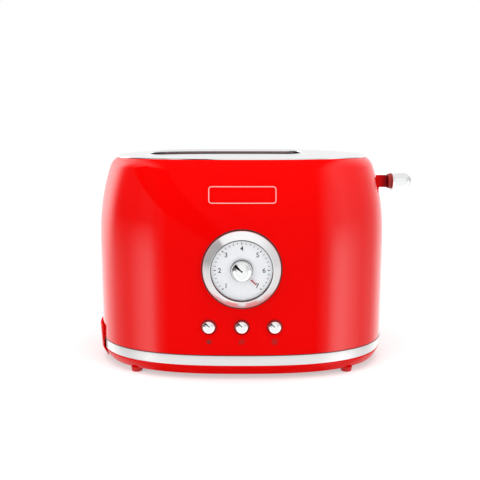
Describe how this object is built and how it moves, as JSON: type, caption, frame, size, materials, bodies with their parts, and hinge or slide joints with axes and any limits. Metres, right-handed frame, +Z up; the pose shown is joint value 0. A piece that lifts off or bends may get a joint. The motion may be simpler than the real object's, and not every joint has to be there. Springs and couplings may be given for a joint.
{
  "type": "toaster",
  "caption": "Retro toaster with a rounded red shell, domed chrome top with bread slots, trim band, browning dial, push buttons, side lever and pull-out crumb tray.",
  "frame": {"origin": "on the surface it stands on, under the middle of the whole object's box", "axes": "+X towards the lever's end, along the body; +Y from the controls to the rear; +Z up"},
  "size_m": [0.3008, 0.1968, 0.1973],
  "materials": {
    "red_lacquer": "gloss lacquer",
    "chrome": "polished",
    "red_moulding": "gloss",
    "dark_red_moulding": "satin",
    "red_rubber": "satin",
    "plain_steel": "satin sheet and wire",
    "bright_steel": "bright sheet and wire",
    "mica": "dull mica sheet",
    "heater_wire": "dull resistance wire",
    "laminations": "dark iron",
    "copper_winding": "enamelled copper",
    "circuit_board": "green board",
    "black_moulding": "satin",
    "silver_face": "fine radial brushing under paint",
    "clear_window": "clear",
    "red_needle": "gloss"
  },
  "bodies": {
    "housing": {"outer_shell": "red_lacquer", "top_panel": "chrome", "base_moulding": "red_moulding", "trim_band": "chrome", "foot_front_left": "red_rubber", "foot_front_right": "red_rubber", "foot_rear_left": "red_rubber", "foot_rear_right": "red_rubber", "base_screw_1": "plain_steel", "base_screw_2": "plain_steel", "base_screw_3": "plain_steel", "base_screw_4": "plain_steel", "end_plate_left": "plain_steel", "end_plate_right": "plain_steel", "reflector_front": "bright_steel", "reflector_rear": "bright_steel", "heater_board_front": "mica", "heater_board_middle": "mica", "heater_board_rear": "mica", "heater_ribbon_front": "heater_wire", "heater_ribbon_middle": "heater_wire", "heater_ribbon_rear": "heater_wire", "guide_rod": "bright_steel", "return_spring": "plain_steel", "magnet_core": "laminations", "magnet_coil": "copper_winding", "dial_face": "silver_face", "button_guide": "dark_red_moulding", "control_board": "circuit_board", "board_bracket": "plain_steel", "potentiometer": "black_moulding", "defrost_switch": "black_moulding", "reheat_switch": "black_moulding", "cancel_switch": "black_moulding", "cord_gland": "black_moulding"},
    "carriage": {"carriage_bracket": "plain_steel", "bread_rack_front": "plain_steel", "bread_rack_rear": "plain_steel", "lever_arm": "dark_red_moulding", "lever_collar": "chrome", "lever_knob": "chrome", "armature": "laminations"},
    "browning_knob": {"knob_ring": "chrome", "knob_window": "clear_window", "knob_cap": "chrome", "knob_needle": "red_needle", "knob_shaft": "plain_steel"},
    "defrost_button": {"defrost_button": "chrome"},
    "reheat_button": {"reheat_button": "chrome"},
    "cancel_button": {"cancel_button": "chrome"},
    "crumb_tray": {"crumb_tray": "plain_steel", "crumb_tray_handle": "red_moulding"},
    "guard_front_outer": {"guard_front_outer": "bright_steel"},
    "guard_front_inner": {"guard_front_inner": "bright_steel"},
    "guard_rear_inner": {"guard_rear_inner": "bright_steel"},
    "guard_rear_outer": {"guard_rear_outer": "bright_steel"}
  },
  "joints": [
    {"name": "carriage_slide", "type": "slide", "parent": "housing", "child": "carriage", "axis": [0, 0, -1], "range_m": [0, 0.08], "stiffness_N_per_m": 60, "springref_m": -0.1, "deforming": ["return_spring"]},
    {"name": "browning_knob_turn", "type": "hinge", "parent": "housing", "child": "browning_knob", "pos_m": [-0.01355, -0.08575, 0.0996], "axis": [0, -1, 0], "range_deg": [0, 270]},
    {"name": "crumb_tray_slide", "type": "slide", "parent": "housing", "child": "crumb_tray", "axis": [-1, 0, 0], "range_m": [0, 0.18]},
    {"name": "defrost_button_press", "type": "slide", "parent": "housing", "child": "defrost_button", "axis": [0, 1, 0], "range_m": [0, 0.0015], "stiffness_N_per_m": 300, "springref_m": -0.0005},
    {"name": "reheat_button_press", "type": "slide", "parent": "housing", "child": "reheat_button", "axis": [0, 1, 0], "range_m": [0, 0.0015], "stiffness_N_per_m": 300, "springref_m": -0.0005},
    {"name": "cancel_button_press", "type": "slide", "parent": "housing", "child": "cancel_button", "axis": [0, 1, 0], "range_m": [0, 0.0015], "stiffness_N_per_m": 300, "springref_m": -0.0005},
    {"name": "guard_front_outer_lean", "type": "hinge", "parent": "housing", "child": "guard_front_outer", "pos_m": [-0.01355, -0.03668, 0.036], "axis": [1, 0, 0], "range_deg": [-5, 0]},
    {"name": "guard_front_inner_lean", "type": "hinge", "parent": "housing", "child": "guard_front_inner", "pos_m": [-0.01355, -0.00462, 0.036], "axis": [1, 0, 0], "range_deg": [0, 5]},
    {"name": "guard_rear_inner_lean", "type": "hinge", "parent": "housing", "child": "guard_rear_inner", "pos_m": [-0.01355, 0.01512, 0.036], "axis": [1, 0, 0], "range_deg": [-5, 0]},
    {"name": "guard_rear_outer_lean", "type": "hinge", "parent": "housing", "child": "guard_rear_outer", "pos_m": [-0.01355, 0.04718, 0.036], "axis": [1, 0, 0], "range_deg": [0, 5]}
  ],
  "couplings": [
    {"joint": "guard_front_outer_lean", "follows": "carriage_slide", "rad_per_m": -0.98},
    {"joint": "guard_front_inner_lean", "follows": "carriage_slide", "rad_per_m": 0.98},
    {"joint": "guard_rear_inner_lean", "follows": "carriage_slide", "rad_per_m": -0.98},
    {"joint": "guard_rear_outer_lean", "follows": "carriage_slide", "rad_per_m": 0.98}
  ]
}
